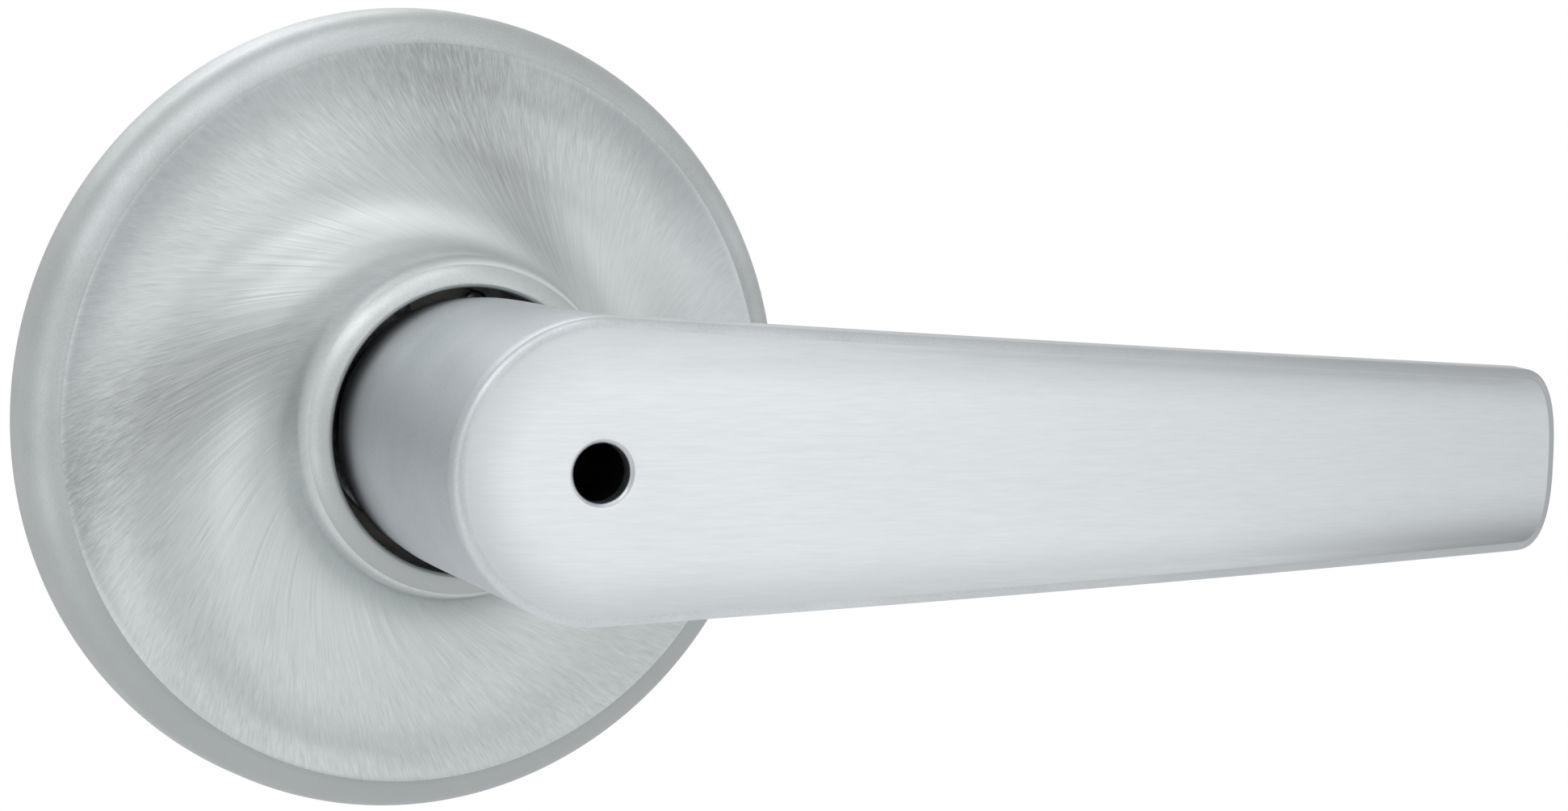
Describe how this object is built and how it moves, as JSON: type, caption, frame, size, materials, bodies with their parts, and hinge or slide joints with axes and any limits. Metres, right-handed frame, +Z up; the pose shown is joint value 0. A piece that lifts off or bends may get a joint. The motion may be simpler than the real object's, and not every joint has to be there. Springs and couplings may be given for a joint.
{
  "type": "door lever handle",
  "caption": "Satin chrome door lever on a round dished rose, with a release hole in its face, sprung both ways, spindle and fixing posts behind.",
  "frame": {"origin": "on the axis that the lever turns about, in the plane of the door's outside face", "axes": "+X from the axis along the lever to its tip, +Z up, +Y into the door: the handle stands out along -Y"},
  "size_m": [0.1208, 0.099, 0.067],
  "materials": {
    "satin_chrome": "satin brushed",
    "zinc_plated_steel": "zinc plated",
    "zinc_casting": "as cast",
    "spring_steel": "oiled",
    "acetal": "moulded",
    "black_oxide": "black oxide"
  },
  "bodies": {
    "chassis": {"rose_cover": "satin_chrome", "mounting_plate": "zinc_plated_steel", "mounting_post_right": "zinc_plated_steel", "mounting_post_left": "zinc_plated_steel", "cover_clip_1": "spring_steel", "cover_clip_2": "spring_steel", "cover_clip_3": "spring_steel", "spring_housing": "zinc_casting", "housing_screw_1": "zinc_plated_steel", "housing_screw_2": "zinc_plated_steel", "housing_screw_3": "zinc_plated_steel", "housing_screw_4": "zinc_plated_steel", "bearing_bush": "acetal", "thrust_washer": "acetal", "return_spring": "spring_steel"},
    "lever": {"lever_handle": "satin_chrome", "drive_tube": "zinc_plated_steel", "spring_driver": "zinc_plated_steel", "retaining_ring": "spring_steel", "spindle_hub": "zinc_casting", "hub_pin_1": "spring_steel", "hub_pin_2": "spring_steel", "spindle": "zinc_plated_steel", "spindle_push_nut": "spring_steel", "lever_set_screw": "black_oxide", "release_guide": "acetal"},
    "release": {"release_plunger": "zinc_casting", "release_rod": "zinc_plated_steel", "release_spring": "spring_steel"}
  },
  "joints": [
    {"name": "lever_turn", "type": "hinge", "parent": "chassis", "child": "lever", "pos_m": [0, 0, 0], "axis": [0, 1, 0], "range_deg": [-50, 50], "stiffness_Nm_per_rad": 0.9, "springref_deg": -1.66, "deforming": ["return_spring"]},
    {"name": "release_push", "type": "slide", "parent": "lever", "child": "release", "axis": [0, 1, 0], "range_m": [0, 0.004], "stiffness_N_per_m": 300, "springref_m": -0.0015, "deforming": ["release_spring"]}
  ]
}
